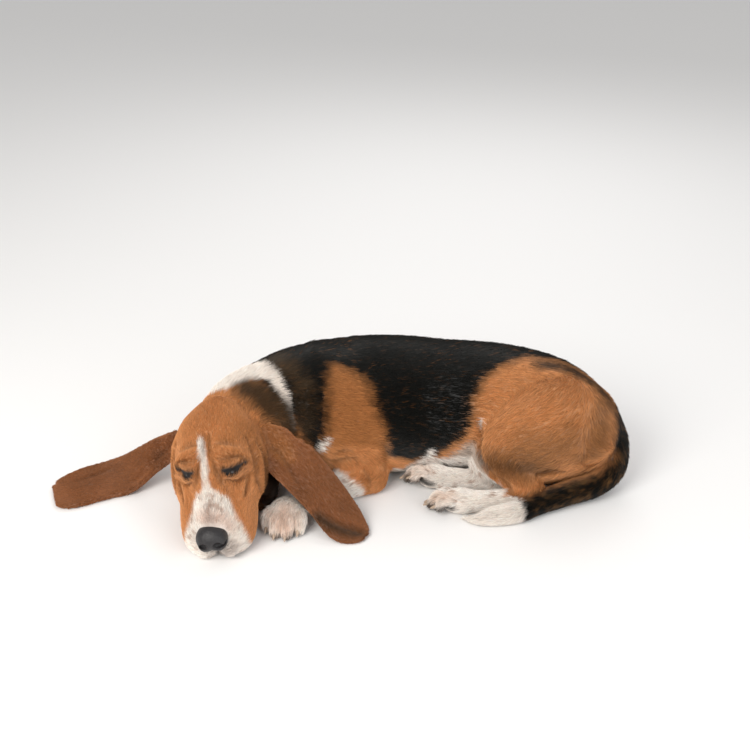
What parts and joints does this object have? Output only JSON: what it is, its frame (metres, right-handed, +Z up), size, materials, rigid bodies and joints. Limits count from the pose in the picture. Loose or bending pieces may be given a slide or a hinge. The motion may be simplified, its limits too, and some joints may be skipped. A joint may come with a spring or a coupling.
{
  "type": "sleeping basset hound figure",
  "caption": "Life-size still figure of a basset hound asleep, lying on its chest and left hip with its chin on the floor, long ears spread and tail curled forward.",
  "frame": {"origin": "on the floor, under the middle of the animal's outline", "axes": "+X towards the rump, +Y towards the back, +Z up from the floor"},
  "size_m": [0.8832, 0.406, 0.2048],
  "materials": {
    "coat": "short glossy coat in black, tan and white",
    "ear_coat": "velvety dark tan coat",
    "nose_leather": "moist dark pebbled skin",
    "claw_horn": "pale translucent horn",
    "eye": "wet dark brown"
  },
  "bodies": {
    "root": {"eye_left": "eye", "eye_right": "eye", "nose": "nose_leather", "claw_front_left_1": "claw_horn", "claw_front_left_2": "claw_horn", "claw_front_left_3": "claw_horn", "claw_front_left_4": "claw_horn", "claw_front_right_1": "claw_horn", "claw_front_right_2": "claw_horn", "claw_front_right_3": "claw_horn", "claw_front_right_4": "claw_horn", "claw_hind_left_1": "claw_horn", "claw_hind_left_2": "claw_horn", "claw_hind_left_3": "claw_horn", "claw_hind_left_4": "claw_horn", "claw_hind_right_1": "claw_horn", "claw_hind_right_2": "claw_horn", "claw_hind_right_3": "claw_horn", "claw_hind_right_4": "claw_horn", "ear_left": "ear_coat", "ear_right": "ear_coat", "trunk": "coat", "neck": "coat", "hindleg_left_thigh": "coat", "hindleg_right_thigh": "coat", "foreleg_left_upper": "coat", "foreleg_right_upper": "coat", "hindleg_left_shank": "coat", "hindleg_right_shank": "coat", "foreleg_left_lower": "coat", "foreleg_right_lower": "coat", "head": "coat", "tail_base": "coat", "tail_middle": "coat", "tail_tip": "coat", "hindleg_left_foot": "coat", "hindleg_right_foot": "coat", "paw_front_left": "coat", "paw_front_right": "coat", "paw_hind_left": "coat", "paw_hind_right": "coat"}
  },
  "joints": []
}
